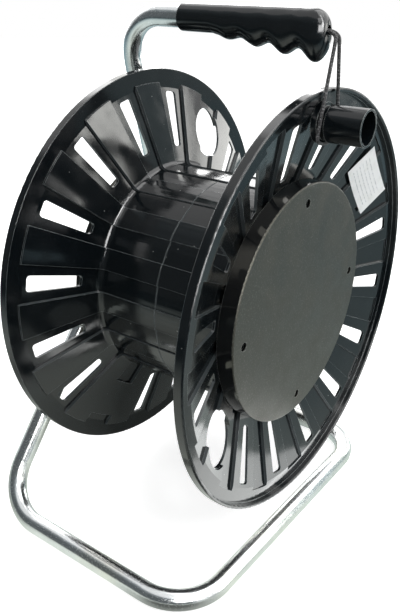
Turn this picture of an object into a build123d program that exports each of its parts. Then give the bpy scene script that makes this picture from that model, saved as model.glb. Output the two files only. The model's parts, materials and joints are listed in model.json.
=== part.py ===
from build123d import *
import os
from math import cos, degrees, pi, radians, sin, tan

# Cable reel: a two-piece moulded drum turning on an axle that a bent steel tube stand carries.
# Millimetres, +Z up, X along the drum's axis. The origin is under the middle of the reel, on the floor.

# Drum
flange_d = 380.0
barrel_d = 205.0
drum_width = 194.4
wall = 2.4
lip_height = 8.1
lip_width = 3.4
lip_round = 1.2
rim_width = 17.0
panel_slope = 18.4
neck_round = 6.0
spoke_rise = 3.0
spoke_reach = 4.4
strip_rise = 1.2
spoke_count = 16
spoke_arc = 10.8
island_gap = 24.5
notch_depth = 7.2
cut_over = 4.0

# Slots between the spokes, and the round hole that a plug passes through
slot_barrel_gap = 17.3
slot_rim_gap = 3.5
slot_inner_w = 9.6
slot_outer_w = 15.0
slot_round = 3.0
plug_hole_d = 47.5
left_hole_angle = 32.1
right_hole_angle = -125.4

# Covers that close the ends of the barrel
cover_overlap = 9.0
cover_inset = 9.8
cover_thickness = 3.0
cover_wall = 2.5
cover_edge = 1.2
spigot_length = 20.0
cover_hole_d = 8.0
cover_hole_inset = 16.0
cover_hole_count = 4
cover_hole_angle = -2.5
hub_d = 40.0
hub_length = 60.0

# Axle and the plate that carries it
axle_d = 20.0
axle_head_d = 28.0
axle_head_t = 8.0
axle_collar_d = 32.0
plate_t = 6.0
plate_height = 44.0
plate_overhang = 12.0
retainer_d = 34.0
retainer_t = 4.0
axle_tail = 6.0

# Stand, bent from one tube
tube_d = 18.0
tube_wall = 1.5
floor_gap = 25.0
handle_gap = 46.4
stand_gap = 22.8
right_gap = 9.8
front_run = 192.0
rear_run = 125.0
leg_joint_height = 94.0
top_bend = 43.0
floor_bend = 46.0
weld_depth = 40.0

# Grip on the handle
grip_start = 70.0
grip_inset = 5.2
grip_d = 23.0
grip_width = 24.0
grip_cap = 12.0
dome_turns = (35.0, 60.0, 78.0)
dome_length = 12.1
bump_pitch = 27.5
bump_count = 4
stations_per_bump = 4
first_bump_depth = 15.6
bump_growth = 4.1
dip_growth = 2.4
cord_hole_d = 7.4
cord_hole_depth = 11.0
cord_hole_drop = 3.6

# Crank knob
knob_angle = -1.65
knob_inset = 9.0
knob_d = 30.0
knob_wall = 1.8
knob_reach = 36.8
knob_foot_d = 20.0
knob_collar_d = 33.0
knob_neck_d = 27.0
knob_neck_w = 5.0
knob_floor = 3.0

# Lock cord
cord_d = 3.0

# Fits
running_fit = 0.08
seat_gap = 0.2
press_gap = 0.05

# Values worked out from the sizes above
flange_r = flange_d / 2
barrel_r = barrel_d / 2
tube_r = tube_d / 2
half_width = drum_width / 2
panel_r = flange_r - rim_width
spoke_end_r = panel_r + spoke_reach
rim_face = half_width - lip_height
rise = tan(radians(panel_slope))
skin = wall / cos(radians(panel_slope))
pitch = 360 / spoke_count
cover_face = half_width - cover_inset
cover_r = barrel_r + cover_overlap
axle_height = flange_r + floor_gap
handle_height = flange_r + handle_gap
stand_side = half_width + stand_gap
right_run = half_width + right_gap
knob_r = panel_r - knob_inset
knob_end = half_width + knob_reach

# Middle of the drum, so that the reel's box is centred over the origin
drum_x = (stand_side + tube_r - knob_end) / 2
drum_y = (front_run + tube_r - flange_r) / 2
drum_mid = Vector(drum_x, drum_y, axle_height)


def panel_face(radius):
    """Axial place of a slotted panel's cable side at a radius."""
    return rim_face - (panel_r - radius) * rise


def end_plane(side, angle):
    """Plane on the drum's axis, looking out of one end, with its x axis at an angle from the top."""
    across = Vector(0, sin(radians(angle)), cos(radians(angle)))
    return Plane(origin=drum_mid, x_dir=across, z_dir=(side, 0, 0))


def cross_plane(x, z, side=1):
    """Plane square to the drum's axis, in the reel's middle plane at a height."""
    return Plane(origin=(x, drum_y, z), x_dir=(0, 1, 0), z_dir=(side, 0, 0))


def sector_plane(angle):
    """Half plane through the axis at an angle, radius along its x axis."""
    turn = radians(angle)
    return Plane(origin=(0, 0, 0), x_dir=(cos(turn), sin(turn), 0), z_dir=(sin(turn), -cos(turn), 0))


def pocket_section():
    """Section of the hollow behind a spoke, open to the outside of the flange."""
    inner_r = barrel_r - 2 * wall
    outer_r = spoke_end_r - wall / 2
    Polygon(
        (inner_r, panel_face(inner_r) - spoke_rise + skin),
        (outer_r, panel_face(outer_r) - spoke_rise + skin),
        (outer_r, half_width),
        (inner_r, half_width),
        align=None,
    )


def cut_start(radius):
    """Axial place at a radius where a cut into the cable side starts, clear of the spokes."""
    return panel_face(radius) - spoke_rise - cut_over


def strip_corner(radius, drop):
    """Corner between the barrel at a radius and a panel that lies a drop below the slotted ones."""
    return radius, panel_face(radius) - drop


# One drum half, moulded with its flange and half of the barrel, axis along Z and the joint face at zero
hole_angle = 0
blank_angle = 180
field_angles = [pitch * i for i in range(spoke_count)]
slot_angles = [angle for angle in field_angles if angle not in (hole_angle, blank_angle)]
spoke_angles = [angle + pitch / 2 for angle in field_angles]
slot_arc = pitch - spoke_arc
slot_inner_r = barrel_r + slot_barrel_gap
slot_outer_r = panel_r - slot_rim_gap
plug_hole_r = (slot_inner_r + slot_outer_r) / 2
side_arc = degrees(wall / plug_hole_r)
island_inner_r = barrel_r + island_gap
island_outer_r = panel_r - notch_depth
crease_r = panel_r - (skin - wall) / rise
cut_end_r = spoke_end_r + cut_over
strip_r = barrel_r + strip_rise
mouth_r = barrel_r - wall

with BuildPart() as moulding:
    # Flange and barrel at the height of the spokes
    with BuildSketch(Plane.XZ):
        with BuildLine():
            FilletPolyline(
                (mouth_r, 0),
                (strip_r, 0),
                strip_corner(strip_r, spoke_rise),
                (spoke_end_r, panel_face(spoke_end_r) - spoke_rise),
                (spoke_end_r, rim_face),
                (flange_r, rim_face),
                (flange_r, half_width),
                (flange_r - lip_width, half_width),
                (flange_r - lip_width, rim_face + wall),
                (crease_r, rim_face + wall),
                (mouth_r, panel_face(mouth_r) + skin),
                radius=(0, 0, neck_round, 0, 0, 0, lip_round, lip_round, 0, 0, 0),
                close=True,
            )
        make_face()
    revolve(axis=Axis.Z)
    # Lower fields between the spokes, which run on as flats along the barrel and level with the rim
    rim_end = [
        (panel_r, rim_face),
        (cut_end_r, rim_face),
        (cut_end_r, cut_start(cut_end_r)),
    ]
    island_end = [
        (island_inner_r, panel_face(island_inner_r)),
        (island_inner_r, cut_start(island_inner_r)),
    ]
    for angle in field_angles:
        field_end = rim_end if angle in slot_angles else island_end
        corners = [
            strip_corner(barrel_r, 0),
            *field_end,
            strip_corner(strip_r + neck_round, spoke_rise + neck_round),
            (strip_r + neck_round, -cut_over),
        ]
        with BuildSketch(sector_plane(angle - slot_arc / 2)):
            with BuildLine():
                FilletPolyline(
                    (barrel_r, -cut_over),
                    *corners,
                    radius=(0, neck_round, *[0] * (len(corners) - 1)),
                    close=True,
                )
            make_face()
    revolve(axis=Axis.Z, revolution_arc=slot_arc, mode=Mode.SUBTRACT)
    # The two fields without a slot are raised to the spokes' height between their two ends
    for angle in (hole_angle, blank_angle):
        with BuildSketch(sector_plane(angle - slot_arc / 2)):
            Polygon(
                (island_outer_r, panel_face(island_outer_r)),
                *rim_end,
                (island_outer_r, cut_start(island_outer_r)),
                align=None,
            )
    revolve(axis=Axis.Z, revolution_arc=slot_arc, mode=Mode.SUBTRACT)
    # Hollows behind the spokes, which leave an even wall
    for angle in spoke_angles:
        with BuildSketch(sector_plane(angle - spoke_arc / 2 + side_arc)):
            pocket_section()
    revolve(axis=Axis.Z, revolution_arc=spoke_arc - 2 * side_arc, mode=Mode.SUBTRACT)
    # Tapered slots with rounded corners
    with BuildSketch() as slots:
        for angle in slot_angles:
            with Locations(Rot(0, 0, angle)):
                Polygon(
                    (slot_inner_r, -slot_inner_w / 2),
                    (slot_outer_r, -slot_outer_w / 2),
                    (slot_outer_r, slot_outer_w / 2),
                    (slot_inner_r, slot_inner_w / 2),
                    align=None,
                )
        fillet(slots.vertices(), slot_round)
    extrude(amount=half_width, mode=Mode.SUBTRACT)
    with BuildSketch():
        with Locations((plug_hole_r, 0)):
            Circle(plug_hole_d / 2)
    extrude(amount=half_width, mode=Mode.SUBTRACT)

with BuildPart() as drum_half_left:
    add(end_plane(-1, left_hole_angle).from_local_coords(moulding.part))

with BuildPart() as drum_half_right:
    add(end_plane(1, right_hole_angle).from_local_coords(moulding.part))


def cover_section():
    """Section of a shallow cover whose skirt stands on the flange and whose spigot enters the barrel."""
    skirt_end = panel_face(cover_r) + skin + seat_gap
    spigot_r = barrel_r - wall - seat_gap
    spigot_end = panel_face(barrel_r - wall) - spigot_length
    Polygon(
        (0, cover_face),
        (cover_r, cover_face),
        (cover_r, skirt_end),
        (cover_r - cover_wall, skirt_end),
        (cover_r - cover_wall, cover_face - cover_thickness),
        (spigot_r, cover_face - cover_thickness),
        (spigot_r, spigot_end),
        (spigot_r - cover_wall, spigot_end),
        (spigot_r - cover_wall, cover_face - cover_thickness),
        (0, cover_face - cover_thickness),
        align=None,
    )


with BuildPart() as cover_right_local:
    with BuildSketch(Plane.XZ):
        cover_section()
    revolve(axis=Axis.Z)
    fillet(cover_right_local.edges().group_by(Axis.Z)[-1], cover_edge)
    with BuildSketch(Plane.XY.offset(cover_face)):
        with PolarLocations(cover_r - cover_hole_inset, cover_hole_count):
            Circle(cover_hole_d / 2)
    extrude(amount=-cover_thickness, mode=Mode.SUBTRACT)

with BuildPart() as cover_right:
    add(end_plane(1, cover_hole_angle).from_local_coords(cover_right_local.part))

with BuildPart() as cover_left_local:
    with BuildSketch(Plane.XZ):
        cover_section()
    revolve(axis=Axis.Z)
    fillet(cover_left_local.edges().group_by(Axis.Z)[-1], cover_edge)
    with BuildSketch(Plane.XY.offset(cover_face)):
        Circle(hub_d / 2)
    extrude(amount=-hub_length)
    with BuildSketch(Plane.XY.offset(cover_face)):
        Circle(axle_d / 2 + running_fit)
    extrude(amount=-hub_length, mode=Mode.SUBTRACT)

with BuildPart() as cover_left:
    add(end_plane(-1, 0).from_local_coords(cover_left_local.part))

# Stand: handle run, upright to the rear, three runs on the floor and the front leg back to the upright
floor_drop = axle_height - tube_r
side_x = drum_x - stand_side
handle_z = axle_height + handle_height
grip_right = half_width - grip_inset
handle_end = (drum_x + grip_right - grip_cap, drum_y, handle_z)
top_corner = (side_x, drum_y, handle_z)
rear_left = (side_x, drum_y + rear_run, tube_r)
rear_right = (drum_x + right_run, drum_y + rear_run, tube_r)
front_right = (drum_x + right_run, drum_y - front_run, tube_r)
front_left = (side_x, drum_y - front_run, tube_r)
upright_lean = rear_run / (handle_height + floor_drop)
leg_top = Vector(
    side_x,
    drum_y + (handle_height - leg_joint_height) * upright_lean,
    axle_height + leg_joint_height,
)
leg_line = leg_top - Vector(front_left)
leg_break = leg_top - leg_line.normalized() * weld_depth


def tube_section():
    """Ring section of the stand's tube."""
    Circle(tube_r)
    Circle(tube_r - tube_wall, mode=Mode.SUBTRACT)


with BuildPart() as leg_end:
    with BuildSketch(Plane(origin=leg_break, x_dir=(1, 0, 0), z_dir=leg_line)):
        tube_section()
    extrude(amount=weld_depth)
    # The leg's end is cut to sit round the upright, and its weld enters half of the upright's wall
    upright_line = Vector(rear_left) - Vector(top_corner)
    with BuildSketch(Plane(origin=top_corner, x_dir=(1, 0, 0), z_dir=upright_line)):
        Circle(tube_r - tube_wall / 2)
    extrude(amount=upright_line.length, mode=Mode.SUBTRACT)
    offcut = leg_end.solids().sort_by(Axis.Z)[1:]
    if offcut:
        add(offcut, mode=Mode.SUBTRACT)

with BuildPart() as frame_tube:
    with BuildLine() as tube_line:
        FilletPolyline(
            handle_end,
            top_corner,
            rear_left,
            rear_right,
            front_right,
            front_left,
            leg_break,
            radius=(top_bend, floor_bend, floor_bend, floor_bend, floor_bend),
        )
    with BuildSketch(Plane(origin=handle_end, x_dir=(0, 0, 1), z_dir=(-1, 0, 0))):
        tube_section()
    sweep()
    add(leg_end.part)

# Plate across the leg and the upright, with the axle that carries the drum
plate_x = side_x + tube_r + press_gap
leg_lean = leg_line.Y / leg_line.Z
leg_y = front_left[1] + floor_drop * leg_lean
upright_y = drum_y + handle_height * upright_lean
plate_front = leg_y - tube_r - plate_overhang
plate_rear = upright_y + tube_r + plate_overhang

with BuildPart() as axle_plate:
    with BuildSketch(cross_plane(plate_x, axle_height)):
        with Locations(((plate_front + plate_rear) / 2 - drum_y, 0)):
            RectangleRounded(plate_rear - plate_front, plate_height, plate_t)
        Circle(axle_d / 2 + press_gap, mode=Mode.SUBTRACT)
    extrude(amount=plate_t)

plate_face = plate_x + plate_t
hub_face = drum_x - cover_face
collar_length = hub_face - seat_gap - plate_face - press_gap
hub_end = hub_face + hub_length

with BuildPart() as axle:
    with BuildSketch(cross_plane(plate_x, axle_height, -1)):
        RegularPolygon(axle_head_d / 2, 6)
    extrude(amount=axle_head_t)
    with BuildSketch(cross_plane(plate_x, axle_height)):
        Circle(axle_d / 2)
    extrude(amount=hub_end + seat_gap + retainer_t + axle_tail - plate_x)
    with BuildSketch(cross_plane(plate_face + press_gap, axle_height)):
        Circle(axle_collar_d / 2)
    extrude(amount=collar_length)

with BuildPart() as axle_retainer:
    with BuildSketch(cross_plane(hub_end + seat_gap, axle_height)):
        Circle(retainer_d / 2)
        Circle(axle_d / 2 + press_gap, mode=Mode.SUBTRACT)
    extrude(amount=retainer_t)

# Grip: round where it meets the bend, with finger swells that grow towards the free end
grip_left = grip_start - stand_side
last_bump = grip_right - dome_length
plain_end = last_bump - bump_pitch * (bump_count - 0.5)


def grip_depth(place):
    """Depth of the grip's underside below the handle's axis."""
    along = (place - plain_end) / bump_pitch
    dip = grip_d / 2 + dip_growth * along
    swell = first_bump_depth + bump_growth * (along - 0.5)
    wave = (1 - cos(2 * pi * along)) / 2
    return dip + (swell - dip) * wave


with BuildPart() as handle_grip:
    for step in range(stations_per_bump * bump_count - stations_per_bump // 2 + 1):
        place = plain_end + bump_pitch * step / stations_per_bump
        depth = grip_depth(place)
        with BuildSketch(cross_plane(drum_x + place, handle_z + (grip_d / 2 - depth) / 2)):
            Ellipse(grip_width / 2, (grip_d / 2 + depth) / 2)
    # Rounded free end
    for turn in dome_turns:
        share = cos(radians(turn))
        place = last_bump + dome_length * sin(radians(turn))
        depth = grip_depth(last_bump)
        with BuildSketch(cross_plane(drum_x + place, handle_z + (grip_d / 2 - depth) / 2)):
            Ellipse(share * grip_width / 2, share * (grip_d / 2 + depth) / 2)
    loft()
    # Plain round end next to the bend
    with BuildSketch(cross_plane(drum_x + grip_left, handle_z)):
        Ellipse(grip_width / 2, grip_d / 2)
    extrude(amount=plain_end - grip_left)
    with BuildSketch(cross_plane(drum_x + grip_left, handle_z)):
        Circle(tube_r + press_gap)
    extrude(amount=grip_right - grip_cap - grip_left, mode=Mode.SUBTRACT)
    with BuildSketch(cross_plane(drum_x + grip_right, handle_z - cord_hole_drop, -1)):
        Circle(cord_hole_d / 2)
    extrude(amount=cord_hole_depth, mode=Mode.SUBTRACT)

# Crank knob: an open tube on a collar, its foot standing in the hollow behind a spoke
knob_plane = Plane(
    origin=(
        drum_x,
        drum_y + knob_r * sin(radians(knob_angle)),
        axle_height + knob_r * cos(radians(knob_angle)),
    ),
    x_dir=(0, 1, 0),
    z_dir=(1, 0, 0),
)
foot_r = knob_foot_d / 2
foot_face = panel_face(knob_r + foot_r) - spoke_rise + skin + seat_gap
collar_face = rim_face + wall + seat_gap
neck_face = half_width + seat_gap
grip_face = neck_face + knob_neck_w

with BuildPart() as knob_local:
    with BuildSketch(Plane.XZ) as knob_section:
        with BuildLine():
            Polyline(
                (0, foot_face),
                (foot_r, foot_face),
                (foot_r, collar_face),
                (knob_collar_d / 2, collar_face),
                (knob_collar_d / 2, neck_face),
                (knob_neck_d / 2, neck_face),
                (knob_neck_d / 2, grip_face),
                (knob_d / 2, grip_face),
                (knob_d / 2, knob_end),
                (knob_d / 2 - knob_wall, knob_end),
                (knob_d / 2 - knob_wall, grip_face + knob_floor),
                (0, grip_face + knob_floor),
                close=True,
            )
        make_face()
    revolve(axis=Axis.Z)

with BuildPart() as crank_knob:
    add(knob_plane.from_local_coords(knob_local.part))

# Lock cord: out of the grip's end, down outside the rim, round the knob's neck and back up
cord_route = [
    (85.0, -1.7, 232.8),
    (98.6, -1.9, 232.3),
    (99.9, -24.6, 148.7),
    (99.9, 12.55, 148.7),
    (98.6, 1.9, 232.3),
    (85.0, 1.7, 232.8),
]
cord_bends = (5.0, 15.1, 15.1, 5.0)

with BuildPart() as lock_cord:
    with BuildLine() as cord_line:
        FilletPolyline([drum_mid + Vector(point) for point in cord_route], radius=cord_bends)
    with BuildSketch(Plane(origin=cord_line.wire() @ 0, z_dir=cord_line.wire() % 0)):
        Circle(cord_d / 2)
    sweep()

pieces = {
    "frame_tube": frame_tube,
    "axle_plate": axle_plate,
    "axle": axle,
    "axle_retainer": axle_retainer,
    "handle_grip": handle_grip,
    "lock_cord": lock_cord,
    "drum_half_left": drum_half_left,
    "drum_half_right": drum_half_right,
    "cover_left": cover_left,
    "cover_right": cover_right,
    "crank_knob": crank_knob,
}

os.makedirs("parts", exist_ok=True)
for name, piece in pieces.items():
    piece.part.label = name
    export_step(piece.part, f"parts/{name}.step")

cord_length = cord_line.wire().length
print("cord bends", cord_bends, "length", round(cord_length, 1))
print("cord volume share", round(lock_cord.part.volume / (cord_length * pi * cord_d**2 / 4), 4))
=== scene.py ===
"""Looks of an empty cable reel on its tube stand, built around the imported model.

Metres. X runs along the drum's axis towards the crank knob, Y to the rear and Z up.
"""

import json
import logging
from dataclasses import dataclass, replace
from enum import Enum
from math import cos, pi, radians, sin, tan

import bpy
from mathutils import Matrix, Vector


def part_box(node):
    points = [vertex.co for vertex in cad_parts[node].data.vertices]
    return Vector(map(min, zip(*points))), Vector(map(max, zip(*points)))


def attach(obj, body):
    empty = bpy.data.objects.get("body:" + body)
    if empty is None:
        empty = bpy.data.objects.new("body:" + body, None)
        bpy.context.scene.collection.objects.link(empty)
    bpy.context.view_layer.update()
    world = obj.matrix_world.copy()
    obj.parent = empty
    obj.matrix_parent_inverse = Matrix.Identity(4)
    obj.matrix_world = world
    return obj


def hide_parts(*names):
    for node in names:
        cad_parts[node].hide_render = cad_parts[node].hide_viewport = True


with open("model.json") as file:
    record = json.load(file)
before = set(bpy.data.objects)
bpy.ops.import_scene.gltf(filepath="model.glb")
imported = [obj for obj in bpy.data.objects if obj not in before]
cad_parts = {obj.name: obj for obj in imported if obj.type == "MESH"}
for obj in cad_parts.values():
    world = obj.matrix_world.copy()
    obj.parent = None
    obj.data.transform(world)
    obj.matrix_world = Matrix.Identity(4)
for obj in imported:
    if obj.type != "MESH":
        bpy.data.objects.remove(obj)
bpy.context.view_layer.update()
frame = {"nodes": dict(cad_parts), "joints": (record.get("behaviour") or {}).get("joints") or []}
LOG = logging.getLogger("cable_reel")

Colour = tuple[float, float, float]
Point = tuple[float, float, float]
Span = tuple[float, float]
Socket = bpy.types.NodeSocket

WHITE: Colour = (1.0, 1.0, 1.0)
WARM_WHITE: Colour = (1.0, 1.0, 0.97)


class Body(Enum):
    """Bodies of the reel that new pieces ride on."""

    STAND = "frame"
    DRUM = "drum"


class Slot(Enum):
    """Material slots of the record; no piece in this script takes one."""

    CORD_BRAID = "cord_braid"


@dataclass(frozen=True)
class Pattern:
    """Noise on a surface: cells in a metre, finer layers, two of its values and what those two become."""

    scale: float
    detail: float
    source: Span
    target: Span = (0.0, 1.0)

    def onto(self, low: float, high: float) -> "Pattern":
        """Gives the same noise with its two values mapped to others."""
        return replace(self, target=(low, high))


class ShaderBench:
    """Adds shader nodes to one node tree and joins their sockets."""

    # The colour sockets of a Mix node share their names with its other sockets, so they go by number
    MIX_FIRST = 6
    MIX_SECOND = 7
    MIX_RESULT = 2
    # Cosine between the rounded normal and the face's own, where an edge starts to show and where it is full
    EDGE_TURN: Span = (0.97, 0.82)
    # How far from the middle of its cell a speck is full, and where it ends
    SPECK_RIM: Span = (0.04, 0.07)
    # A cell has a speck where its random value is above these
    SPECK_PICK: Span = (0.74, 0.76)

    def __init__(self, tree: bpy.types.NodeTree) -> None:
        """Starts from an empty tree.

        Args:
            tree: Node tree of a material or of the world.
        """
        self.tree = tree
        tree.nodes.clear()

    @classmethod
    def for_material(cls, name: str) -> tuple["ShaderBench", bpy.types.Material]:
        """Makes a new material with an empty tree.

        Args:
            name: Name of the material.

        Returns:
            The bench and its material.
        """
        material = bpy.data.materials.new(name)
        material.use_nodes = True
        return cls(material.node_tree), material

    def add(self, kind: str, **sockets: object) -> bpy.types.Node:
        """Adds one node and sets or joins its inputs.

        Args:
            kind: Type name of the node, without its leading "ShaderNode".
            sockets: Input names, with underscores for spaces, and a value or a source socket for each.

        Returns:
            The new node.
        """
        node = self.tree.nodes.new("ShaderNode" + kind)
        for name, value in sockets.items():
            self.feed(node.inputs[name.replace("_", " ")], value)
        return node

    def feed(self, target: Socket, value: object) -> None:
        """Joins a source socket to an input, or sets the input's own value.

        Args:
            target: Input socket.
            value: Source socket, number, colour or vector.
        """
        if isinstance(value, Socket):
            self.tree.links.new(value, target)
        elif isinstance(value, tuple) and target.type == "RGBA":
            target.default_value = (*value, 1.0)
        else:
            target.default_value = value

    def place(self) -> Socket:
        """Gives the piece's own coordinates."""
        return self.add("TexCoord").outputs["Object"]

    def vector_maths(self, operation: str, first: Socket, second: object) -> bpy.types.Node:
        """Adds a vector maths node.

        Args:
            operation: Name of the operation.
            first: First vector.
            second: Second vector or socket.

        Returns:
            The node.
        """
        node = self.add("VectorMath", Vector=first)
        node.operation = operation
        self.feed(node.inputs[1], second)
        return node

    def shift(self, vector: Socket, origin: object) -> Socket:
        """Gives coordinates as seen from another origin."""
        return self.vector_maths("SUBTRACT", vector, origin).outputs["Vector"]

    def offsets(self, vector: Socket, origin: object) -> tuple[Socket, ...]:
        """Gives how far each point lies from an origin along X, Y and Z."""
        return tuple(self.add("SeparateXYZ", Vector=self.shift(vector, origin)).outputs)

    def stretch(self, vector: Socket, scale: Point) -> Socket:
        """Gives coordinates scaled along each axis."""
        return self.add("Mapping", Vector=vector, Scale=scale).outputs["Vector"]

    def noise(self, scale: float, detail: float, vector: Socket) -> Socket:
        """Adds noise.

        Args:
            scale: Cells in a metre.
            detail: Number of finer layers.
            vector: Coordinates.

        Returns:
            The noise's value.
        """
        return self.add("TexNoise", Vector=vector, Scale=scale, Detail=detail).outputs["Fac"]

    def pattern(self, pattern: Pattern, vector: Socket) -> Socket:
        """Adds a pattern's noise with its values mapped."""
        return self.spread(self.noise(pattern.scale, pattern.detail, vector), pattern.source, pattern.target)

    def spread(self, value: Socket, source: Span, target: Span = (0.0, 1.0)) -> Socket:
        """Maps one range of a value to another and clamps it.

        Args:
            value: Value to map.
            source: Both ends of the range that comes in.
            target: What those two become.

        Returns:
            The mapped value.
        """
        node = self.add("MapRange", Value=value)
        for name, number in zip(("From Min", "From Max", "To Min", "To Max"), (*source, *target)):
            self.feed(node.inputs[name], number)
        return node.outputs["Result"]

    def maths(self, operation: str, first: object, second: object = 0.0) -> Socket:
        """Adds a maths node.

        Args:
            operation: Name of the operation.
            first: First value or socket.
            second: Second value or socket.

        Returns:
            The result.
        """
        node = self.add("Math")
        node.operation = operation
        self.feed(node.inputs[0], first)
        self.feed(node.inputs[1], second)
        return node.outputs["Value"]

    def tint(self, share: Socket, first: object, second: object) -> Socket:
        """Mixes two colours by a share that varies over the surface.

        Args:
            share: How much of the second colour shows.
            first: First colour or socket.
            second: Second colour or socket.

        Returns:
            The mixed colour.
        """
        node = self.add("Mix", Factor=share)
        node.data_type = "RGBA"
        self.feed(node.inputs[self.MIX_FIRST], first)
        self.feed(node.inputs[self.MIX_SECOND], second)
        return node.outputs[self.MIX_RESULT]

    def relief(self, height: Socket, depth: float, normal: Socket | None = None) -> Socket:
        """Turns a height pattern into surface relief.

        Args:
            height: Pattern from 0 to 1.
            depth: Height in metres at 1.
            normal: Normal that the relief is added to, or the surface's own when left out.

        Returns:
            The normal with the relief.
        """
        node = self.add("Bump", Height=height, Distance=depth)
        if normal is not None:
            self.feed(node.inputs["Normal"], normal)
        return node.outputs["Normal"]

    def soft_edges(self, radius: object) -> Socket:
        """Gives normals that round off the moulded edges by a radius or a socket with it."""
        return self.add("Bevel", Radius=radius).outputs["Normal"]

    def edges(self, width: float) -> Socket:
        """Finds the moulded edges, where a rounded normal leaves the face's own.

        Args:
            width: How far from an edge they reach.

        Returns:
            1 along the edges and 0 on the faces.
        """
        own = self.add("NewGeometry").outputs["Normal"]
        meet = self.vector_maths("DOT_PRODUCT", self.soft_edges(width), own)
        return self.spread(meet.outputs["Value"], self.EDGE_TURN)

    def specks(self, scale: float, vector: Socket) -> Socket:
        """Scatters small specks of dust.

        Args:
            scale: Cells in a metre, of which about one in four has a speck.
            vector: Coordinates.

        Returns:
            1 on the specks and 0 elsewhere.
        """
        cells = self.add("TexVoronoi", Vector=vector, Scale=scale)
        dots = self.spread(cells.outputs["Distance"], self.SPECK_RIM, (1.0, 0.0))
        picked = self.add("SeparateXYZ", Vector=cells.outputs["Color"]).outputs["X"]
        return self.maths("MULTIPLY", dots, self.spread(picked, self.SPECK_PICK))

    def finish(self, shader: bpy.types.Node) -> None:
        """Joins the last shader to the material's output."""
        self.add("OutputMaterial", Surface=shader.outputs[0])

    def coat(self, **sockets: object) -> None:
        """Adds the surface's shader with its inputs and joins it to the output."""
        self.finish(self.add("BsdfPrincipled", **sockets))


@dataclass(frozen=True)
class Barrel:
    """Marks on the drum by their distance from its middle.

    The line where the halves meet, streaks of the mould's draw, painted light on the rib sides, a painted
    highlight on the seam's edges and a rounder rim.
    """

    middle: Vector
    radius: float = 0.1045
    fade: float = 0.004
    seam: float = 0.0007
    seam_floor: float = 0.3
    seam_depth: float = 0.0008
    # Width and strength of the painted highlight along the seam's edges
    seam_lip: float = 1.5
    seam_highlight_share: float = 0.4
    streaks: Point = (9.0, 190.0, 190.0)
    streak_depth: float = 0.00024
    # Painted light on the sides of the ribs, which stands in for what they reflect, and how far a face must
    # turn round the axis to take it
    painted_rib_side_light: Colour = (0.062, 0.072, 0.076)
    side_turn: Span = (0.7, 0.9)
    rim_radius: float = 0.179
    rim_fade: float = 0.001
    rim_round: float = 0.0013

    def out(self, bench: ShaderBench, place: Socket) -> Socket:
        """Gives the distance from the drum's axis.

        Args:
            bench: Bench of the material.
            place: The piece's own coordinates.

        Returns:
            The distance.
        """
        _, across, up = bench.offsets(place, self.middle)
        squares = bench.maths("ADD", bench.maths("POWER", across, 2.0), bench.maths("POWER", up, 2.0))
        return bench.maths("SQRT", squares)

    def off_seam(self, bench: ShaderBench, place: Socket) -> Socket:
        """Gives the distance from the line where the halves meet."""
        return bench.maths("ABSOLUTE", bench.offsets(place, self.middle)[0])

    def rounding(self, bench: ShaderBench, place: Socket, edge: float) -> Socket:
        """Gives the radius of the edges, which is larger on the rim's bead.

        Args:
            bench: Bench of the material.
            place: The piece's own coordinates.
            edge: Radius of the other edges.

        Returns:
            The radius.
        """
        rim = (self.rim_radius, self.rim_radius + self.rim_fade)
        return bench.spread(self.out(bench, place), rim, (edge, self.rim_round))

    def paint_light(self, bench: ShaderBench, place: Socket, colour: Socket, edge: Colour) -> Socket:
        """Paints light on the sides of the ribs, which look round the axis, and a highlight on the edges of
        the seam.

        Args:
            bench: Bench of the material.
            place: The piece's own coordinates.
            colour: Colour of the plastic.
            edge: Colour of the painted highlights along the edges.

        Returns:
            The colour with both.
        """
        # Painted light on the sides of the ribs, then a painted highlight on both edges of the seam
        _, across, up = bench.offsets(place, self.middle)
        facing = bench.add("SeparateXYZ", Vector=bench.add("NewGeometry").outputs["True Normal"])
        first = bench.maths("MULTIPLY", facing.outputs["Y"], up)
        second = bench.maths("MULTIPLY", facing.outputs["Z"], across)
        turned = bench.maths("DIVIDE", bench.maths("SUBTRACT", first, second), self.out(bench, place))
        side = bench.spread(bench.maths("ABSOLUTE", turned), self.side_turn)
        colour = bench.tint(side, colour, self.painted_rib_side_light)
        # Painted highlight on both edges of the seam
        lip = (self.seam, self.seam * self.seam_lip)
        lines = bench.spread(self.off_seam(bench, place), lip, (self.seam_highlight_share, 0.0))
        return bench.tint(lines, colour, edge)

    def relief(self, bench: ShaderBench, place: Socket, normal: Socket) -> Socket:
        """Adds the seam's groove and the barrel's streaks to a normal.

        Args:
            bench: Bench of the material.
            place: The piece's own coordinates.
            normal: Normal that the relief is added to.

        Returns:
            The normal with the relief.
        """
        inside = bench.spread(self.out(bench, place), (self.radius, self.radius + self.fade), (1.0, 0.0))
        groove = bench.spread(self.off_seam(bench, place), (self.seam * self.seam_floor, self.seam))
        normal = bench.relief(groove, self.seam_depth, normal)
        drawn = bench.noise(1.0, 2.0, bench.stretch(place, self.streaks))
        return bench.relief(bench.maths("MULTIPLY", drawn, inside), self.streak_depth, normal)


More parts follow.
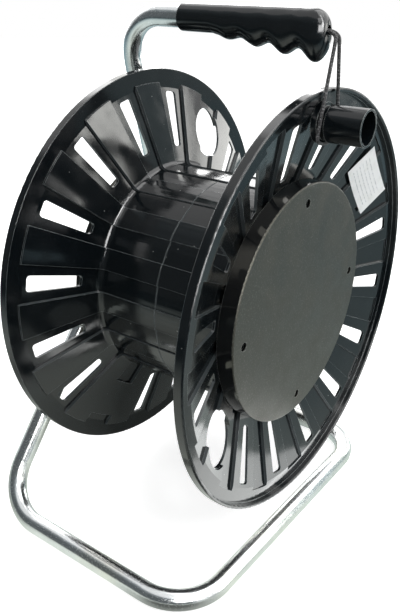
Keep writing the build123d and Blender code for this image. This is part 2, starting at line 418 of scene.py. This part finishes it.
@dataclass(frozen=True)
class MouldedPlastic:
    """Glossy moulded plastic with haze, scuffs, fine grain, painted highlights along its edges and a little
    dust on top faces.
    """

    name: str
    colour: Colour = (0.0042, 0.0062, 0.0076)
    roughness: float = 0.14
    specular: float = 0.55
    haze: float = 0.05
    clouds: Pattern = Pattern(60.0, 4.0, (0.35, 0.65))
    scuffs: Pattern = Pattern(900.0, 6.0, (0.62, 0.75), (0.0, 0.18))
    dust: Colour = (0.055, 0.056, 0.055)
    dust_scale: float = 220.0
    dust_slope: Span = (0.4, 1.0)
    dust_source: Span = (0.35, 0.75)
    dust_share: float = 0.08
    dust_roughness: float = 0.5
    speck: Colour = (0.34, 0.35, 0.33)
    speck_scale: float = 130.0
    edge: float = 0.0003
    # Painted highlight along the edges: how far it reaches, its colour and the noise that breaks it up
    edge_highlight_width: float = 0.0008
    edge_highlight_colour: Colour = (0.19, 0.215, 0.22)
    wear_and_highlight_noise: Pattern = Pattern(170.0, 3.0, (0.3, 0.6), (0.35, 1.0))
    wave_scale: float = 38.0
    wave_depth: float = 0.00013
    grain_scale: float = 1500.0
    grain_depth: float = 0.000012

    def dusty(self, bench: ShaderBench, place: Socket) -> Socket:
        """Lets dust settle in patches on faces that look up.

        Args:
            bench: Bench of the material.
            place: The piece's own coordinates.

        Returns:
            The share of dust.
        """
        upward = bench.add("SeparateXYZ", Vector=bench.add("NewGeometry").outputs["Normal"]).outputs["Z"]
        patches = bench.noise(self.dust_scale, 5.0, place)
        settled = bench.maths("MULTIPLY", bench.spread(upward, self.dust_slope), patches)
        return bench.spread(settled, self.dust_source, (0.0, self.dust_share))

    def material(self, barrel: Barrel | None = None) -> bpy.types.Material:
        """Builds the node material.

        Args:
            barrel: Barrel whose marks the surface shows, if it has one.

        Returns:
            The material.
        """
        bench, made = ShaderBench.for_material(self.name)
        place = bench.place()
        dusty = self.dusty(bench, place)
        haze = bench.pattern(self.clouds.onto(self.roughness - self.haze, self.roughness + self.haze), place)
        rough = bench.maths("ADD", haze, bench.pattern(self.scuffs, place))
        rough = bench.maths("ADD", rough, bench.maths("MULTIPLY", dusty, self.dust_roughness))
        # Painted highlight along the moulded edges, broken up by noise
        wear_and_edge_highlight = bench.maths("MULTIPLY", bench.edges(self.edge_highlight_width), bench.pattern(self.wear_and_highlight_noise, place))
        colour = bench.tint(dusty, self.colour, self.dust)
        colour = bench.tint(wear_and_edge_highlight, colour, self.edge_highlight_colour)
        colour = bench.tint(bench.specks(self.speck_scale, place), colour, self.speck)
        normal = bench.soft_edges(self.edge if barrel is None else barrel.rounding(bench, place, self.edge))
        if barrel is not None:
            # Painted light on the rib sides and a painted highlight on the seam's edges
            colour = barrel.paint_light(bench, place, colour, self.edge_highlight_colour)
            normal = barrel.relief(bench, place, normal)
        normal = bench.relief(bench.noise(self.wave_scale, 1.0, place), self.wave_depth, normal)
        normal = bench.relief(bench.noise(self.grain_scale, 2.0, place), self.grain_depth, normal)
        bench.coat(Base_Color=colour, Roughness=rough, Specular_IOR_Level=self.specular, Normal=normal)
        return made


@dataclass(frozen=True)
class SparkedPlastic:
    """Dark grey plastic with a spark-eroded matte face, a smooth glossy side wall and painted highlights
    along its edges.
    """

    name: str
    colour: Colour = (0.013, 0.013, 0.010)
    roughness: float = 0.44
    specular: float = 0.54
    specular_tint: Colour = (1.0, 0.97, 0.84)
    wall_colour: Colour = (0.008, 0.009, 0.010)
    wall_roughness: float = 0.14
    face_margin: float = 0.0016
    fleck: Colour = (0.10, 0.10, 0.09)
    flecks: Pattern = Pattern(650.0, 3.0, (0.56, 0.72), (0.0, 0.8))
    clouds: Pattern = Pattern(45.0, 4.0, (0.3, 0.7), (-0.07, 0.07))
    speck: Colour = (0.30, 0.31, 0.28)
    speck_scale: float = 95.0
    edge: float = 0.0004
    # Painted highlight along the edges: how far it reaches and its colour
    edge_highlight_width: float = 0.0007
    edge_highlight_colour: Colour = (0.42, 0.44, 0.42)
    grain_depth: float = 0.00014

    def material(self, face: float, outward: float) -> bpy.types.Material:
        """Builds the node material.

        Args:
            face: Place of the matte face along X.
            outward: 1 where the face looks along X, or -1.

        Returns:
            The material.
        """
        bench, made = ShaderBench.for_material(self.name)
        place = bench.place()
        along = bench.add("SeparateXYZ", Vector=place).outputs["X"]
        depth = bench.maths("MULTIPLY", bench.maths("SUBTRACT", along, face), -outward)
        wall = bench.spread(depth, (self.face_margin / 2, self.face_margin))
        colour = bench.tint(bench.pattern(self.flecks, place), self.colour, self.fleck)
        colour = bench.tint(bench.specks(self.speck_scale, place), colour, self.speck)
        colour = bench.tint(wall, colour, self.wall_colour)
        # Painted highlight along the edges
        colour = bench.tint(bench.edges(self.edge_highlight_width), colour, self.edge_highlight_colour)
        matte = bench.maths("ADD", bench.pattern(self.clouds, place), self.roughness)
        rough = bench.add("Mix", Factor=wall, A=matte, B=self.wall_roughness).outputs[0]
        grain = bench.noise(self.flecks.scale, 4.0, place)
        grain = bench.maths("MULTIPLY", grain, bench.maths("SUBTRACT", 1.0, wall))
        bench.coat(
            Base_Color=colour,
            Roughness=rough,
            Specular_IOR_Level=self.specular,
            Specular_Tint=self.specular_tint,
            Normal=bench.relief(grain, self.grain_depth, bench.soft_edges(self.edge)),
        )
        return made


@dataclass(frozen=True)
class ZincPlate:
    """Bright zinc plating with faint spangle, cloudy patches and rub marks."""

    name: str
    colour: Colour = (0.74, 0.76, 0.77)
    cloud: Colour = (0.60, 0.62, 0.62)
    clouds: Pattern = Pattern(55.0, 5.0, (0.4, 0.7), (0.0, 0.7))
    yellow: Colour = (0.80, 0.78, 0.66)
    yellowed: Pattern = Pattern(9.0, 3.0, (0.5, 0.75), (0.0, 0.7))
    roughness: float = 0.19
    rubs: Pattern = Pattern(700.0, 6.0, (0.55, 0.75), (0.0, 0.14))
    spangle_scale: float = 420.0
    spangle_source: Span = (0.0, 0.8)
    spangle_roughness: Span = (-0.02, 0.03)
    relief_scale: float = 260.0
    relief_depth: float = 0.000007

    def material(self) -> bpy.types.Material:
        """Builds the node material.

        Returns:
            The material.
        """
        bench, made = ShaderBench.for_material(self.name)
        place = bench.place()
        colour = bench.tint(bench.pattern(self.clouds, place), self.colour, self.cloud)
        colour = bench.tint(bench.pattern(self.yellowed, place), colour, self.yellow)
        cells = bench.add("TexVoronoi", Vector=place, Scale=self.spangle_scale)
        spangle = bench.spread(cells.outputs["Distance"], self.spangle_source, self.spangle_roughness)
        rough = bench.maths("ADD", spangle, bench.pattern(self.rubs, place))
        rough = bench.maths("ADD", rough, self.roughness)
        normal = bench.relief(bench.noise(self.relief_scale, 3.0, place), self.relief_depth)
        bench.coat(Base_Color=colour, Metallic=1.0, Roughness=rough, Normal=normal)
        return made


@dataclass(frozen=True)
class TurnedSteel:
    """Plain steel with turning marks round the drum's axis."""

    name: str
    colour: Colour = (0.42, 0.43, 0.44)
    # Colour of the steel's worn patches and the noise that lays them out
    wear_and_edge_highlight: Colour = (0.30, 0.30, 0.30)
    wear_and_highlight_noise: Pattern = Pattern(120.0, 5.0, (0.4, 0.7))
    rings: Point = (900.0, 60.0, 60.0)
    ring_source: Span = (0.3, 0.7)
    ring_roughness: Span = (0.22, 0.42)
    ring_depth: float = 0.00003

    def material(self) -> bpy.types.Material:
        """Builds the node material.

        Returns:
            The material.
        """
        bench, made = ShaderBench.for_material(self.name)
        place = bench.place()
        marks = bench.noise(1.0, 3.0, bench.stretch(place, self.rings))
        colour = bench.tint(bench.pattern(self.wear_and_highlight_noise, place), self.colour, self.wear_and_edge_highlight)
        rough = bench.spread(marks, self.ring_source, self.ring_roughness)
        normal = bench.relief(marks, self.ring_depth)
        bench.coat(Base_Color=colour, Metallic=1.0, Roughness=rough, Normal=normal)
        return made


@dataclass(frozen=True)
class Braid:
    """Black braided sheath: two sets of slanting strands with pale flecks."""

    name: str
    colour: Colour = (0.004, 0.004, 0.005)
    fleck: Colour = (0.30, 0.30, 0.31)
    flecks: Pattern = Pattern(620.0, 2.0, (0.5, 0.62))
    crests: Span = (0.45, 0.9)
    turns: float = 62.0
    strands: float = 8.0
    roughness: float = 0.62
    sheen: float = 0.06
    relief_depth: float = 0.0004

    def material(self) -> bpy.types.Material:
        """Builds the node material.

        Returns:
            The material.
        """
        bench, made = ShaderBench.for_material(self.name)
        split = bench.add("SeparateXYZ", Vector=bench.add("TexCoord").outputs["UV"])
        along = bench.maths("MULTIPLY", split.outputs["X"], self.turns * 2 * pi)
        round_it = bench.maths("MULTIPLY", split.outputs["Y"], self.strands * 2 * pi)
        one_way = bench.maths("SINE", bench.maths("ADD", along, round_it))
        other_way = bench.maths("SINE", bench.maths("SUBTRACT", along, round_it))
        weave = bench.spread(bench.maths("MULTIPLY", one_way, other_way), (-1.0, 1.0))
        flecks = bench.pattern(self.flecks, bench.place())
        shown = bench.maths("MULTIPLY", flecks, bench.spread(weave, self.crests))
        bench.coat(
            Base_Color=bench.tint(shown, self.colour, self.fleck),
            Roughness=self.roughness,
            Sheen_Weight=self.sheen,
            Normal=bench.relief(weave, self.relief_depth),
        )
        return made


@dataclass(frozen=True)
class Lamp:
    """Soft rectangular lamp: its middle, its width and height, its power and the point that it faces."""

    name: str
    place: Point
    size: Span
    watts: float
    aim: Point = (0.0, 0.0, 0.22)

    def build(self) -> None:
        """Hangs the lamp, out of the camera's sight."""
        data = bpy.data.lights.new(self.name, "AREA")
        data.shape = "RECTANGLE"
        data.size, data.size_y = self.size
        data.energy = self.watts
        lamp = bpy.data.objects.new(self.name, data)
        bpy.context.scene.collection.objects.link(lamp)
        lamp.location = self.place
        facing = Vector(self.aim) - Vector(self.place)
        lamp.rotation_euler = facing.to_track_quat("-Z", "Y").to_euler()
        lamp.visible_camera = False


@dataclass(frozen=True)
class Card:
    """Curved card round the reel that only reflections see.

    It stands between two heights and two angles, in degrees from the rear towards the right. Its light is low
    up to a share of its height, and changes from there to high at the top.
    """

    name: str
    radius: float
    level: Span
    arc: Span
    low: float
    high: float
    start: float = 0.4
    colour: Colour = WHITE
    facets: int = 96

    def build(self) -> None:
        """Cuts the card out of a cylinder and lights it."""
        bottom, top = self.level
        bpy.ops.object.select_all(action="DESELECT")
        bpy.ops.mesh.primitive_cylinder_add(
            vertices=self.facets,
            radius=self.radius,
            depth=top - bottom,
            end_fill_type="NOTHING",
            location=(0.0, 0.0, (bottom + top) / 2),
        )
        card = bpy.context.object
        card.name = self.name
        bpy.ops.object.transform_apply(location=True)
        bpy.ops.object.mode_set(mode="EDIT")
        for angle, side in zip(self.arc, (-1.0, 1.0)):
            away = Vector((side * cos(radians(angle)), -side * sin(radians(angle)), 0.0))
            bpy.ops.mesh.select_all(action="SELECT")
            bpy.ops.mesh.bisect(plane_co=(0.0, 0.0, 0.0), plane_no=away, clear_outer=True)
        bpy.ops.object.mode_set(mode="OBJECT")
        card.data.materials.append(self.material())
        card.visible_camera = False
        card.visible_diffuse = False
        card.visible_shadow = False
        card.visible_transmission = False

    def material(self) -> bpy.types.Material:
        """Builds the card's light.

        Returns:
            The material.
        """
        bottom, top = self.level
        bench, made = ShaderBench.for_material(self.name)
        height = bench.add("SeparateXYZ", Vector=bench.place()).outputs["Z"]
        changing = (bottom + self.start * (top - bottom), top)
        strength = bench.spread(height, changing, (self.low, self.high))
        bench.finish(bench.add("Emission", Color=self.colour, Strength=strength))
        return made


@dataclass(frozen=True)
class Shade:
    """Round shade on the mirrored table: its middle, where it starts and ends to fade, and the light left."""

    middle: Span
    fade: Span
    left: float


class Studio:
    """Camera, lamps, floor and surroundings."""

    IMAGE_HEIGHT = 614
    SENSOR = 36.0
    FOCAL_PIXELS = 720.085
    CAMERA_PLACE: Point = (0.35932, -0.53051, 0.48138)
    YAW = radians(35.93)
    PITCH = radians(24.46)
    ROLL = radians(-1.19)

    FLOOR_RADIUS = 6.0
    FLOOR_FACETS = 96
    FLOOR_COLOUR: Colour = (0.80, 0.80, 0.80)
    FLOOR_MIDDLE: Span = (0.0, 0.0)
    # Distance from the middle over which the white that the camera sees grows to 1, and what it starts from
    FLOOR_RISE: Span = (0.25, 0.8)
    FLOOR_WHITE = 0.74
    FILL = 0.45

    # Mirrored in the reel, the table dims away from a point in front of it, and its colour turns cooler
    MIRROR_MIDDLE: Span = (0.0, -0.3)
    MIRROR_FADE: Span = (0.2, 1.3)
    MIRROR_FAR = 0.45
    MIRROR_NEAR_COLOUR: Colour = (0.94, 1.0, 0.92)
    MIRROR_FAR_COLOUR: Colour = (0.66, 0.92, 1.0)
    # It has the drum's shadow and three more shades, and towards the camera it ends in the dark
    SHADES = (
        Shade((-0.08, 0.05), (0.07, 0.20), 0.2),
        Shade((0.38, -0.10), (0.10, 0.24), 0.25),
        Shade((-0.22, -0.24), (0.04, 0.15), 0.35),
        Shade((0.12, -0.24), (0.05, 0.11), 0.15),
    )
    FRONT_FADE: Span = (-0.90, -0.45)
    FRONT_LEFT = 0.15

    CARDS = (
        Card("dark_card", 2.2, (0.0, 3.2), (117.0, 250.0), 0.13, 0.4, 0.5, (0.90, 1.0, 1.04)),
        Card("left_card", 2.4, (0.0, 2.2), (-75.0, -40.0), 3.8, 1.5, 0.35, WARM_WHITE),
        Card("rear_card", 2.4, (0.0, 2.2), (-40.0, -2.0), 0.7, 2.4, 0.15),
        Card("low_card", 2.4, (0.0, 0.55), (-2.0, 23.0), 4.3, 3.6, 0.5, WARM_WHITE),
        Card("corner_card", 2.5, (0.0, 1.3), (24.0, 52.0), 0.5, 0.6, 0.3, (0.80, 0.97, 1.0)),
        Card("right_card", 2.2, (0.05, 1.2), (52.0, 78.0), 4.0, 9.0, 0.3, (1.0, 1.0, 0.96)),
        Card("window_card", 1.6, (0.70, 1.35), (98.0, 146.0), 13.0, 13.0),
        Card("tall_card", 1.6, (1.35, 4.6), (98.0, 114.0), 12.0, 12.0),
        Card("gap_card", 2.35, (0.55, 1.05), (22.0, 32.0), 4.3, 4.3, 0.5, WARM_WHITE),
        Card("sky_card", 1.7, (1.05, 3.2), (2.0, 86.0), 3.0, 3.0),
        Card("shelf_card", 2.0, (1.6, 3.4), (-62.0, -40.0), 2.0, 2.4),
    )
    # The last one is the table's own lamp, which shines up beside the drum
    LAMPS = (
        Lamp("top_box", (0.2, 0.25, 1.5), (1.0, 0.7), 7.0),
        Lamp("left_box", (-1.2, 0.35, 0.85), (0.8, 0.8), 6.0),
        Lamp("high_box", (0.75, -0.75, 1.55), (0.5, 0.5), 2.6),
        Lamp("rear_box", (-0.83, 1.23, 0.82), (0.5, 0.4), 3.0),
        Lamp("side_box", (1.17, -0.30, 1.06), (0.3, 0.35), 4.0),
        Lamp("table_box", (0.14, -0.01, 0.024), (0.09, 0.22), 0.15, aim=(0.14, -0.01, 1.0)),
    )

    def __init__(self) -> None:
        """Sets the view transform."""
        bpy.context.scene.view_settings.view_transform = "Standard"

    def camera(self) -> None:
        """Makes the camera at the photograph's place and angle."""
        lens = bpy.data.cameras.new("camera")
        lens.sensor_width = self.SENSOR
        lens.lens = self.FOCAL_PIXELS / self.IMAGE_HEIGHT * self.SENSOR
        camera = bpy.data.objects.new("camera", lens)
        bpy.context.scene.collection.objects.link(camera)
        turn = Matrix.Rotation(self.YAW, 4, "Z") @ Matrix.Rotation(pi / 2 - self.PITCH, 4, "X")
        turn = turn @ Matrix.Rotation(-self.ROLL, 4, "Z")
        camera.matrix_world = Matrix.Translation(self.CAMERA_PLACE) @ turn
        bpy.context.scene.camera = camera

    @staticmethod
    def reach(bench: ShaderBench, place: Socket, middle: Span) -> Socket:
        """Gives the distance of each point of the table from a point on it."""
        return bench.vector_maths("DISTANCE", place, (*middle, 0.0)).outputs["Value"]

    def mirrored(self, bench: ShaderBench, place: Socket) -> bpy.types.Node:
        """Lights the table as the reel mirrors it.

        Args:
            bench: Bench of the table's material.
            place: The table's own coordinates.

        Returns:
            The shader.
        """
        far = bench.spread(self.reach(bench, place, self.MIRROR_MIDDLE), self.MIRROR_FADE)
        strength = bench.spread(far, (0.0, 1.0), (1.0, self.MIRROR_FAR))
        for shade in self.SHADES:
            dark = bench.spread(self.reach(bench, place, shade.middle), shade.fade, (shade.left, 1.0))
            strength = bench.maths("MULTIPLY", strength, dark)
        rearward = bench.add("SeparateXYZ", Vector=place).outputs["Y"]
        ahead = bench.spread(rearward, self.FRONT_FADE, (self.FRONT_LEFT, 1.0))
        strength = bench.maths("MULTIPLY", strength, ahead)
        colour = bench.tint(far, self.MIRROR_NEAR_COLOUR, self.MIRROR_FAR_COLOUR)
        return bench.add("Emission", Color=colour, Strength=strength)

    def floor(self) -> None:
        """Lays a round white table that keeps the reel's shadow."""
        bpy.ops.object.select_all(action="DESELECT")
        bpy.ops.mesh.primitive_circle_add(
            vertices=self.FLOOR_FACETS, radius=self.FLOOR_RADIUS, fill_type="NGON"
        )
        floor = bpy.context.object
        floor.name = "floor"
        bench, made = ShaderBench.for_material("table_paper")
        path = bench.add("LightPath").outputs
        place = bench.place()
        direct = bench.maths("MAXIMUM", path["Is Camera Ray"], path["Is Transmission Ray"])
        out = self.reach(bench, place, self.FLOOR_MIDDLE)
        lit = bench.spread(out, self.FLOOR_RISE, (self.FLOOR_WHITE, 1.0))
        paper = bench.add("BsdfDiffuse", Color=self.FLOOR_COLOUR)
        white = bench.add("Emission", Color=WHITE, Strength=bench.maths("MULTIPLY", direct, lit))
        both = bench.add("AddShader")
        bench.feed(both.inputs[0], paper.outputs[0])
        bench.feed(both.inputs[1], white.outputs[0])
        shown = bench.add("MixShader")
        bench.feed(shown.inputs[0], path["Is Glossy Ray"])
        bench.feed(shown.inputs[1], both.outputs[0])
        bench.feed(shown.inputs[2], self.mirrored(bench, place).outputs[0])
        bench.finish(shown)
        floor.data.materials.append(made)

    def world(self) -> None:
        """Makes a white background with an even fill light."""
        world = bpy.data.worlds.new("studio")
        bpy.context.scene.world = world
        world.use_nodes = True
        bench = ShaderBench(world.node_tree)
        path = bench.add("LightPath").outputs
        seen = bench.maths("MAXIMUM", path["Is Camera Ray"], path["Is Glossy Ray"])
        seen = bench.maths("MAXIMUM", seen, path["Is Transmission Ray"])
        strength = bench.spread(seen, (0.0, 1.0), (self.FILL, 1.0))
        sky = bench.add("Background", Color=WHITE, Strength=strength)
        bench.add("OutputWorld", Surface=sky.outputs[0])

    def light(self) -> None:
        """Sets up the floor, the surroundings and the lamps."""
        self.floor()
        for card in self.CARDS:
            card.build()
        self.world()
        for lamp in self.LAMPS:
            lamp.build()


@dataclass
class LockCord:
    """Braided cord from the grip's end round the crank knob's neck and back."""

    drum_mid: Vector
    diameter: float = 0.003
    length: float = 0.2111
    neck_run: float = 0.018
    top_run: float = 0.0136

    def route(self) -> list[Vector]:
        """Gives the cord's points, in order from the grip.

        Returns:
            The points, with two more on each long straight strand, near the knob's neck and near the grip.
        """
        start, top = Vector((0.0850, -0.0017, 0.2328)), Vector((0.0986, -0.0019, 0.2323))
        front, rear = Vector((0.0999, -0.0246, 0.1487)), Vector((0.0999, 0.01255, 0.1487))
        top_again, end = Vector((0.0986, 0.0019, 0.2323)), Vector((0.0850, 0.0017, 0.2328))
        points = [start, top, *self.straight(top, front), front, rear]
        points += [*reversed(self.straight(top_again, rear)), top_again, end]
        return [self.drum_mid + point for point in points]

    def straight(self, upper: Vector, lower: Vector) -> list[Vector]:
        """Gives the two points that keep a strand straight.

        Args:
            upper: Corner under the grip.
            lower: Corner at the knob.

        Returns:
            A point near each corner.
        """
        along = (lower - upper).normalized()
        return [upper + along * self.top_run, lower - along * self.neck_run]

    def build(self) -> bpy.types.Object:
        """Makes the cord as one smooth spline.

        Returns:
            The cord.
        """
        line = bpy.data.curves.new("lock_cord_braid", "CURVE")
        line.dimensions = "3D"
        line.bevel_depth = self.diameter / 2
        line.bevel_resolution = 5
        line.use_fill_caps = True
        spline = line.splines.new("NURBS")
        points = self.route()
        spline.points.add(len(points) - 1)
        for place, point in zip(spline.points, points):
            place.co = (*point, 1.0)
        spline.order_u = 3
        spline.use_endpoint_u = True
        spline.resolution_u = 24
        cord = bpy.data.objects.new("lock_cord_braid", line)
        bpy.context.scene.collection.objects.link(cord)
        line.materials.append(Braid("cord_braid_finish").material())
        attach(cord, Body.STAND.value)
        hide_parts("lock_cord")
        return cord


@dataclass(frozen=True)
class Paper:
    """White coated paper with a few pale, broken ruled lines and slightly yellowed patches."""

    name: str
    colour: Colour = (0.92, 0.94, 0.94)
    ink: Colour = (0.30, 0.34, 0.36)
    ink_share: float = 0.55
    line_turns: float = 1500.0
    line_source: Span = (0.55, 0.8)
    line_end: Span = (0.024, 0.0245)
    last_line: Span = (0.0125, 0.013)
    broken: Pattern = Pattern(420.0, 2.0, (0.45, 0.55), (0.25, 1.0))
    soiled: Colour = (0.66, 0.68, 0.64)
    soil: Pattern = Pattern(90.0, 5.0, (0.45, 0.8), (0.0, 0.5))
    rough: Pattern = Pattern(300.0, 3.0, (0.3, 0.7), (0.32, 0.5))

    def material(self, turn: float, middle: Vector) -> bpy.types.Material:
        """Builds the node material.

        Args:
            turn: Angle of the sticker's long side.
            middle: Middle of the sticker.

        Returns:
            The material.
        """
        bench, made = ShaderBench.for_material(self.name)
        place = bench.place()
        flat = bench.add("Mapping", Vector=bench.shift(place, middle), Rotation=(turn, 0.0, 0.0))
        split = bench.add("SeparateXYZ", Vector=flat.outputs["Vector"])
        across, down = split.outputs["Y"], split.outputs["Z"]
        lines = bench.maths("SINE", bench.maths("MULTIPLY", down, self.line_turns))
        ruled = bench.spread(lines, self.line_source)
        wide = bench.spread(bench.maths("ABSOLUTE", across), self.line_end, (self.ink_share, 0.0))
        high = bench.spread(bench.maths("ABSOLUTE", down), self.last_line, (1.0, 0.0))
        marks = bench.maths("MULTIPLY", ruled, bench.maths("MULTIPLY", wide, high))
        marks = bench.maths("MULTIPLY", marks, bench.pattern(self.broken, place))
        colour = bench.tint(bench.pattern(self.soil, place), self.colour, self.soiled)
        colour = bench.tint(marks, colour, self.ink)
        bench.coat(Base_Color=colour, Roughness=bench.pattern(self.rough, place))
        return made


@dataclass
class Sticker:
    """Paper sticker that lies on the cone of the right flange's blank field."""

    drum_mid: Vector
    panel_radius: float = 0.173
    panel_end: float = 0.09163
    slope: float = radians(18.4)
    angle: float = radians(53.2)
    tilt: float = radians(-1.5)
    radius: float = 0.1500
    length: float = 0.063
    width: float = 0.0355
    lift: float = 0.00006
    thickness: float = 0.00012
    cone_reach: float = 0.03
    cone_facets: int = 360
    smooth: float = radians(30)

    def middle(self) -> Vector:
        """Gives the sticker's middle on the cone."""
        out = self.panel_end - (self.panel_radius - self.radius) * tan(self.slope) + self.lift
        return self.drum_mid + Vector((out, self.radius * sin(self.angle), self.radius * cos(self.angle)))

    def build(self) -> bpy.types.Object:
        """Cuts the sticker out of a cone about the drum's axis.

        Returns:
            The sticker.
        """
        middle = self.middle()
        bpy.ops.object.select_all(action="DESELECT")
        bpy.ops.mesh.primitive_cone_add(
            vertices=self.cone_facets,
            radius1=self.radius + self.cone_reach,
            radius2=self.radius - self.cone_reach,
            depth=2 * self.cone_reach * tan(self.slope),
            end_fill_type="NOTHING",
            location=(middle.x, self.drum_mid.y, self.drum_mid.z),
            rotation=(0.0, -pi / 2, 0.0),
        )
        sticker = bpy.context.object
        sticker.name = "paper_sticker"
        bpy.ops.object.transform_apply(location=True, rotation=True, scale=True)
        turned = self.angle + self.tilt
        outward = Vector((0.0, sin(turned), cos(turned)))
        along = Vector((0.0, cos(turned), -sin(turned)))
        bpy.ops.object.mode_set(mode="EDIT")
        for normal, half in ((outward, self.width / 2), (along, self.length / 2)):
            for side in (normal, -normal):
                bpy.ops.mesh.select_all(action="SELECT")
                bpy.ops.mesh.bisect(plane_co=middle + side * half, plane_no=side, clear_outer=True)
        bpy.ops.mesh.select_all(action="SELECT")
        bpy.ops.mesh.normals_make_consistent(inside=False)
        bpy.ops.object.mode_set(mode="OBJECT")
        solid = sticker.modifiers.new("thickness", "SOLIDIFY")
        solid.thickness = self.thickness
        solid.offset = 1.0
        bpy.ops.object.modifier_apply(modifier=solid.name)
        bpy.ops.object.shade_smooth_by_angle(angle=self.smooth)
        sticker.data.materials.append(Paper("sticker_paper").material(turned, middle))
        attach(sticker, Body.DRUM.value)
        return sticker


def dress(node: str, material: bpy.types.Material) -> None:
    """Gives a CAD node its finish.

    Args:
        node: Name of the node.
        material: Finish of all its faces.
    """
    mesh = frame["nodes"][node].data
    mesh.materials.clear()
    mesh.materials.append(material)
    LOG.info("dressed %s with %s", node, material.name)


def main() -> None:
    """Builds the reel's looks in order and reports each piece."""
    logging.basicConfig(level=logging.INFO, format="%(name)s: %(message)s")
    drum_mid = Vector(frame["joints"][0]["pos_m"])
    studio = Studio()
    studio.camera()
    for piece in (LockCord(drum_mid), Sticker(drum_mid)):
        LOG.info("made %s", piece.build().name)
    studio.light()
    drum = MouldedPlastic("drum_plastic_finish", roughness=0.11).material(Barrel(drum_mid))
    dress("drum_half_left", drum)
    dress("drum_half_right", drum)
    dress("cover_right", SparkedPlastic("cover_right_finish").material(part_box("cover_right")[1].x, 1.0))
    dress("cover_left", SparkedPlastic("cover_left_finish").material(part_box("cover_left")[0].x, -1.0))
    dress("handle_grip", MouldedPlastic("grip_plastic_finish", roughness=0.16, haze=0.04).material())
    # The knob's painted edge highlights reach further and are paler
    wear_and_edge_highlight = MouldedPlastic(
        "knob_plastic_finish", roughness=0.12, haze=0.04, edge_highlight_width=0.0013, edge_highlight_colour=(0.34, 0.36, 0.35)
    )
    dress("crank_knob", wear_and_edge_highlight.material())
    zinc = ZincPlate("zinc_finish").material()
    dress("frame_tube", zinc)
    dress("axle_plate", zinc)
    steel = TurnedSteel("axle_steel_finish").material()
    dress("axle", steel)
    dress("axle_retainer", steel)


if __name__ == "__main__":
    main()
